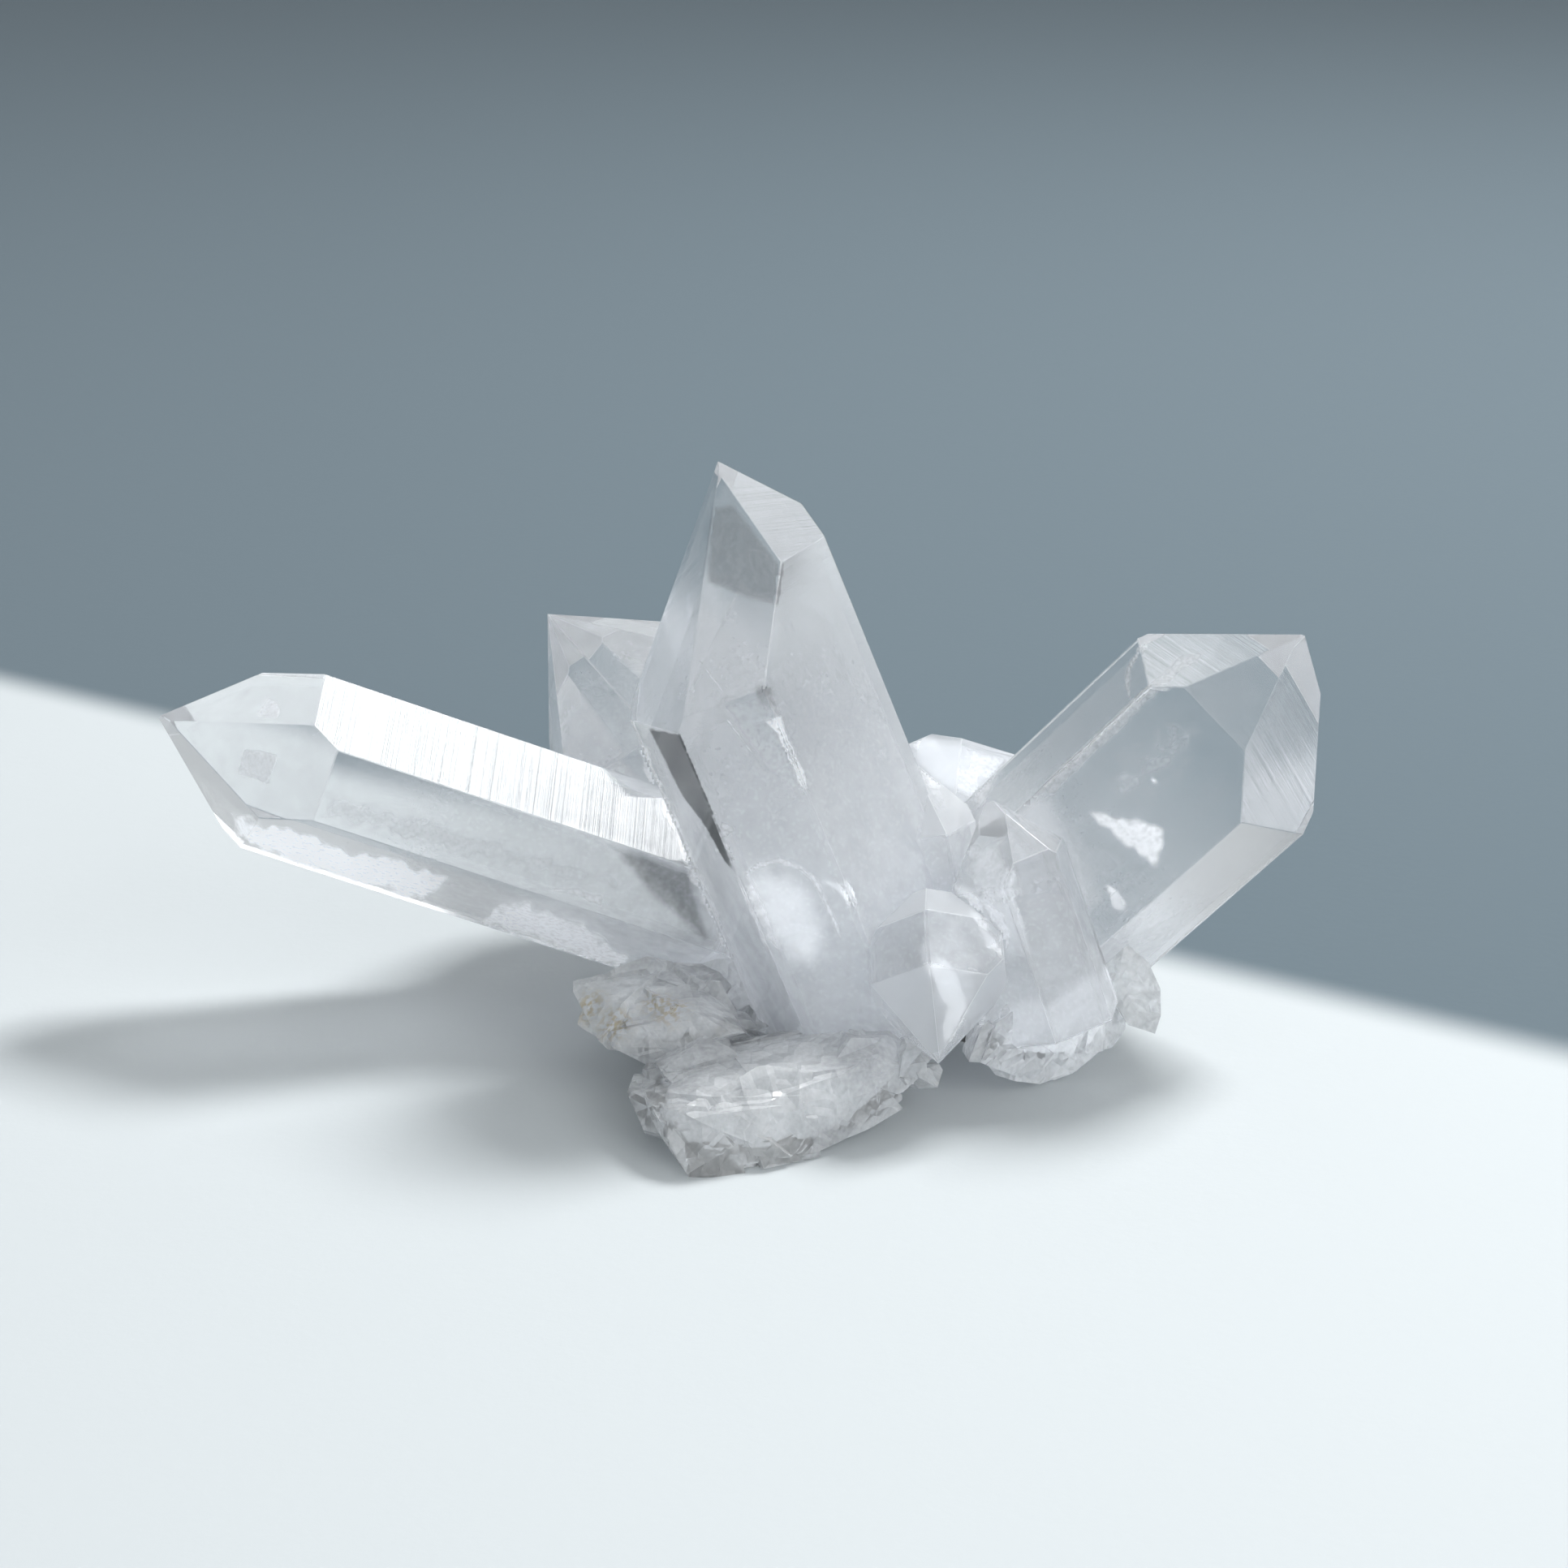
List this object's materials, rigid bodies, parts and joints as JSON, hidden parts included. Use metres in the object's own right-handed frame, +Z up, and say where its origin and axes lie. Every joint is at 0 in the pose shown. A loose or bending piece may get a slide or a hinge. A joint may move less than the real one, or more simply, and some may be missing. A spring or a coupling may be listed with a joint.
{
  "type": "quartz crystal cluster",
  "caption": "Cluster of clear six-sided quartz points growing out of one rough broken foot, standing on a surface.",
  "frame": {"origin": "on the resting plane, under the middle of the cluster", "axes": "+Z up, +X towards the right-hand crystal's tip, +Y to the back of the cluster"},
  "size_m": [0.099, 0.0596, 0.0504],
  "materials": {
    "quartz": "clear to milky, glossy faces"
  },
  "bodies": {
    "root": {"quartz_cluster": "quartz"}
  },
  "joints": []
}
